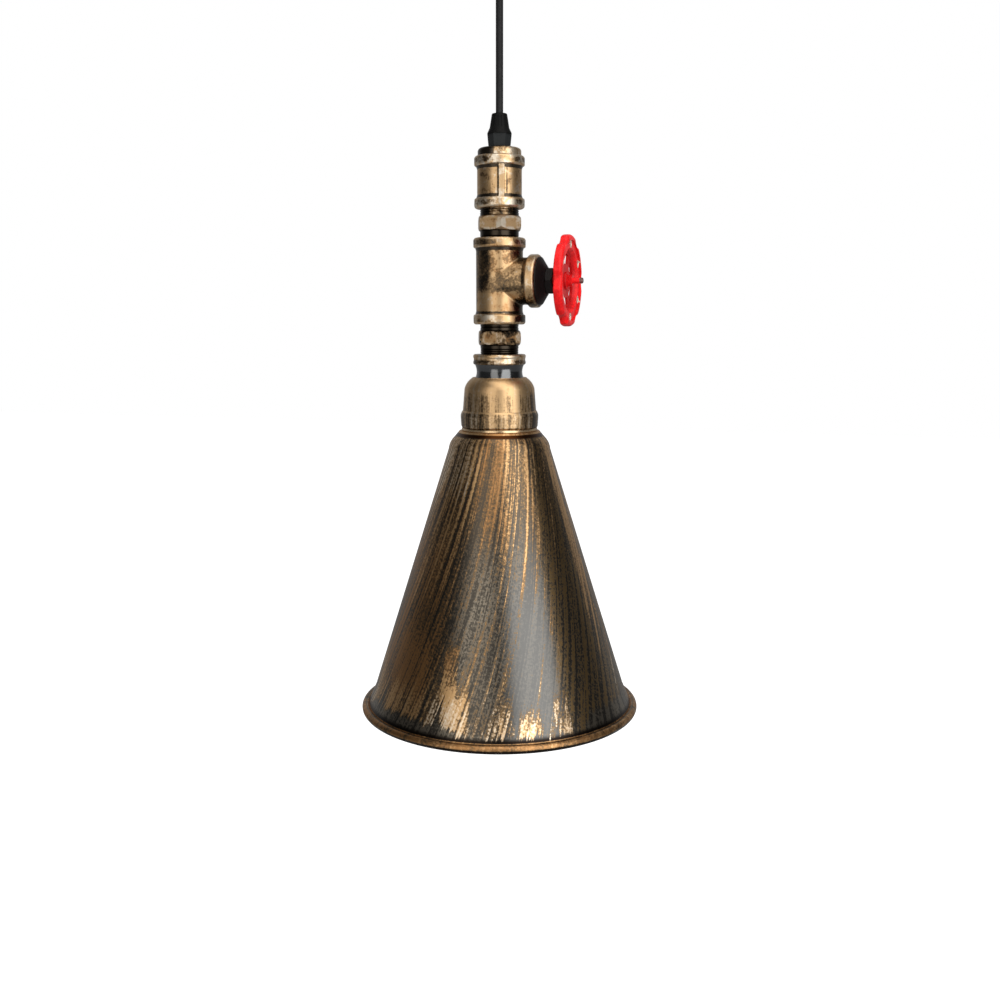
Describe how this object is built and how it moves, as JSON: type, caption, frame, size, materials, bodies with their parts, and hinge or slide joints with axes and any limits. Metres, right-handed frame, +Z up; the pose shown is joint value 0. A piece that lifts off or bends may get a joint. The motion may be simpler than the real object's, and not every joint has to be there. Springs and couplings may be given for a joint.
{
  "type": "pendant lamp",
  "caption": "Pendant lamp: a conical metal shade under a stack of pipe fittings with a red handwheel, hung on a cord from a round ceiling canopy.",
  "frame": {"origin": "middle of the canopy's open end, in the ceiling plane", "axes": "+Z up into the ceiling, along the axis of cord, fittings and shade; +X along the tee's branch towards the handwheel"},
  "size_m": [0.2, 0.2, 0.548],
  "materials": {
    "steel": "zinc plated steel",
    "aged_bronze": "black ground brushed over with gold and copper",
    "bright_ring": "bright, lightly brushed",
    "dark_grip": "blue black, half gloss",
    "cord_sheath": "matte dark grey",
    "wire_insulation": "brown and blue insulation",
    "white_plastic": "moulded, half matte",
    "brass": "plain brass",
    "gloss_black": "gloss black",
    "black_iron": "blackened",
    "porcelain": "glazed white",
    "bulb_glass": "clear",
    "filament": "yellow light sticks",
    "filament_metal": "plain wire and discs",
    "red_enamel": "gloss red enamel",
    "spindle_steel": "browned steel"
  },
  "bodies": {
    "ceiling_fitting": {"ceiling_bracket": "steel", "ceiling_canopy": "aged_bronze", "canopy_screws": "steel", "terminal_block": "white_plastic", "terminal_screws": "brass", "block_screw": "steel", "ceiling_grip_nut": "dark_grip", "ceiling_grip_body": "dark_grip", "ceiling_grip_locknut": "steel", "ceiling_lead": "cord_sheath", "ceiling_wires": "wire_insulation"},
    "hanging_cord": {"cord": "cord_sheath"},
    "lamp": {"lamp_grip_nut": "dark_grip", "lamp_grip_body": "dark_grip", "lamp_grip_locknut": "steel", "lamp_lead": "cord_sheath", "lamp_wires": "wire_insulation", "pipe_plug": "aged_bronze", "banded_socket": "aged_bronze", "upper_nipple": "aged_bronze", "pipe_tee": "aged_bronze", "lower_nipple": "aged_bronze", "neck_collar": "aged_bronze", "black_neck": "gloss_black", "threaded_tube": "steel", "tube_locknuts": "steel", "holder_cap": "aged_bronze", "holder_skirt": "aged_bronze", "holder_core": "porcelain", "holder_screws": "brass", "holder_sleeve": "brass", "centre_contact": "brass", "shade_washer": "bright_ring", "shade": "aged_bronze", "shade_clamp_ring": "aged_bronze", "bulb_contact": "brass", "bulb_cap": "brass", "bulb_glass": "bulb_glass", "bulb_stem": "bulb_glass", "filament_frame": "filament_metal", "bulb_filaments": "filament", "valve_bonnet": "gloss_black", "packing_nut": "black_iron"},
    "valve_wheel": {"valve_spindle": "spindle_steel", "spindle_clip": "steel", "handwheel": "red_enamel", "wheel_washer": "red_enamel", "wheel_nut": "red_enamel"}
  },
  "joints": [
    {"name": "swing", "type": "hinge", "parent": "ceiling_fitting", "child": "hanging_cord", "pos_m": [0, 0, -0.0447], "axis": [0, 1, 0], "range_deg": [-15, 15]},
    {"name": "tilt", "type": "hinge", "parent": "hanging_cord", "child": "lamp", "pos_m": [0, 0, -0.1345], "axis": [1, 0, 0], "range_deg": [-10, 10]},
    {"name": "valve_turn", "type": "hinge", "parent": "lamp", "child": "valve_wheel", "pos_m": [0, 0, -0.24235], "axis": [1, 0, 0], "continuous": true}
  ]
}
